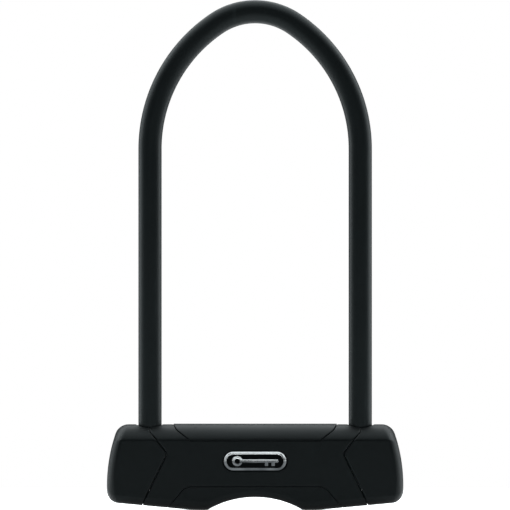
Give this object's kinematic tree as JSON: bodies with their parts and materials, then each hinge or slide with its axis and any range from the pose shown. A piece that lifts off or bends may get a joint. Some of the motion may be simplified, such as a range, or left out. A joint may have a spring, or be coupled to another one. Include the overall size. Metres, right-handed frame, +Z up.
{
  "type": "u lock",
  "caption": "Bicycle U lock: coated steel shackle that lifts out of a covered crossbar with an upright key cylinder and sliding bolts.",
  "frame": {"origin": "on the surface the crossbar stands on, midway between the legs and midway in depth", "axes": "+X to the right seen from the front, the front with the badge faces -Y, +Z up along the legs"},
  "size_m": [0.1704, 0.0318, 0.2934],
  "materials": {
    "cover_plastic": "satin black moulded plastic with a fine texture",
    "soft_coating": "satin black soft plastic sleeve",
    "carrier_plastic": "plain dark moulded plastic",
    "hardened_steel": "hardened and ground steel",
    "body_steel": "plain drawn steel, lightly oiled",
    "bright_steel": "bright machined steel",
    "cylinder_brass": "machined brass",
    "badge_chrome": "bright chrome plating"
  },
  "bodies": {
    "crossbar": {"centre_sleeve": "cover_plastic", "left_end_cap": "cover_plastic", "right_end_cap": "cover_plastic", "top_panel": "cover_plastic", "bottom_panel": "cover_plastic", "lock_body": "body_steel", "left_end_plug": "body_steel", "right_end_plug": "body_steel", "left_shackle_socket": "body_steel", "right_shackle_socket": "body_steel", "left_bolt_carrier": "carrier_plastic", "right_bolt_carrier": "carrier_plastic", "cylinder_housing": "cylinder_brass", "barrel_retaining_ring": "bright_steel", "cylinder_retaining_pin": "hardened_steel", "badge_plate": "carrier_plastic", "badge_ring": "badge_chrome", "badge_key_emblem": "badge_chrome"},
    "shackle": {"shackle_core": "hardened_steel", "shackle_coating": "soft_coating"},
    "key_barrel": {"cylinder_barrel": "cylinder_brass", "keyway_shield": "hardened_steel", "locking_disc_1": "cylinder_brass", "locking_disc_2": "cylinder_brass", "locking_disc_3": "cylinder_brass", "locking_disc_4": "cylinder_brass", "locking_disc_5": "cylinder_brass", "cylinder_sidebar": "bright_steel", "bolt_cam": "hardened_steel"},
    "left_bolt": {"left_bolt": "bright_steel"},
    "right_bolt": {"right_bolt": "bright_steel"},
    "dust_cover": {"keyhole_dust_cover": "cover_plastic"}
  },
  "joints": [
    {"name": "shackle_slide", "type": "slide", "parent": "crossbar", "child": "shackle", "axis": [0, 0, 1], "range_m": [0, 0.06]},
    {"name": "key_turn", "type": "hinge", "parent": "crossbar", "child": "key_barrel", "pos_m": [0, 0, 0.0119], "axis": [0, 0, 1], "range_deg": [0, 90]},
    {"name": "left_bolt_slide", "type": "slide", "parent": "crossbar", "child": "left_bolt", "axis": [-1, 0, 0], "range_m": [0, 0.0042]},
    {"name": "right_bolt_slide", "type": "slide", "parent": "crossbar", "child": "right_bolt", "axis": [1, 0, 0], "range_m": [0, 0.0042]},
    {"name": "dust_cover_slide", "type": "hinge", "parent": "crossbar", "child": "dust_cover", "pos_m": [0, 0, -0.0465], "axis": [0, 1, 0], "range_deg": [0, 13]}
  ],
  "couplings": [
    {"joint": "key_turn", "follows": "left_bolt_slide", "rad_per_m": 374},
    {"joint": "right_bolt_slide", "follows": "left_bolt_slide", "ratio": 1}
  ]
}
